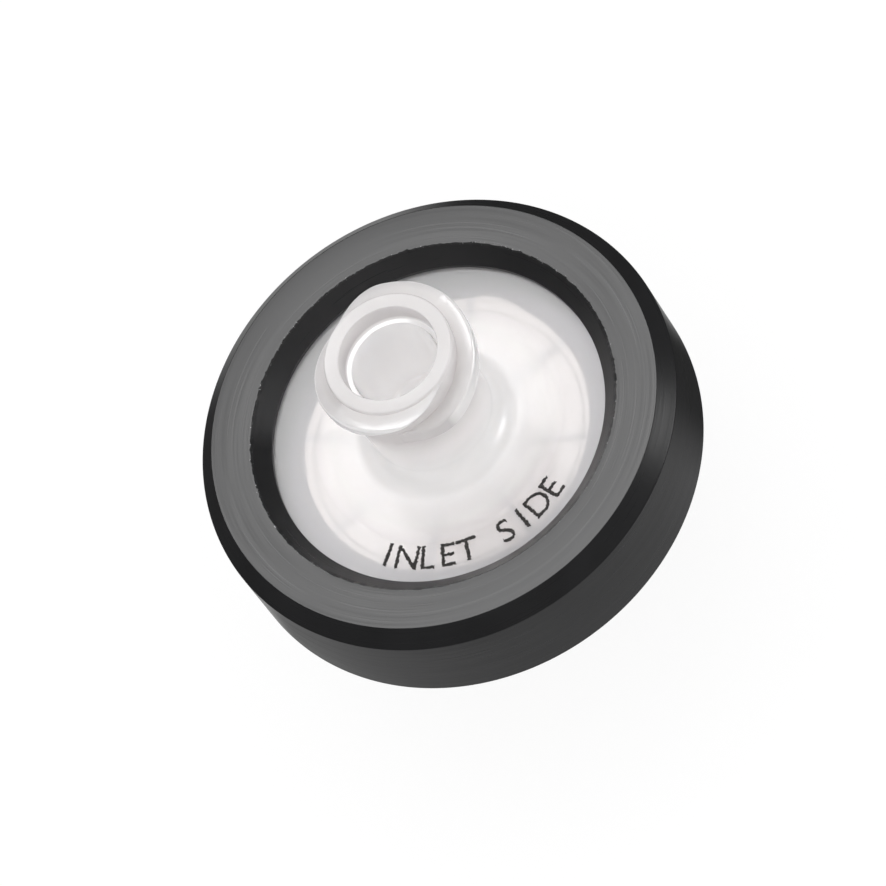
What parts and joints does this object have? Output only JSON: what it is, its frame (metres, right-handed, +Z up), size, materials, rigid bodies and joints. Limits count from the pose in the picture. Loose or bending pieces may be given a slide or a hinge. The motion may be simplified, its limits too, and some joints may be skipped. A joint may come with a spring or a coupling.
{
  "type": "syringe filter",
  "caption": "Small disposable syringe filter: luer-lock inlet, milky round housing with a white membrane, luer-slip outlet, and a black moulded ring round the rim.",
  "frame": {"origin": "centre of the outlet tip's end face, the lowest point of the part", "axes": "+Z up the flow axis, from the outlet towards the inlet; +X and +Y across the ring"},
  "size_m": [0.0234, 0.0234, 0.0216],
  "materials": {
    "clear_plastic": "milky translucent polypropylene, moulded, glossy on the inlet and satin on the plate",
    "membrane_white": "white microporous membrane, matte",
    "black_plastic": "black polypropylene, satin, with fine turned streaks on its flat face"
  },
  "bodies": {
    "root": {"inlet_housing": "clear_plastic", "membrane": "membrane_white", "outlet_housing": "clear_plastic", "overmould_ring": "black_plastic"}
  },
  "joints": []
}
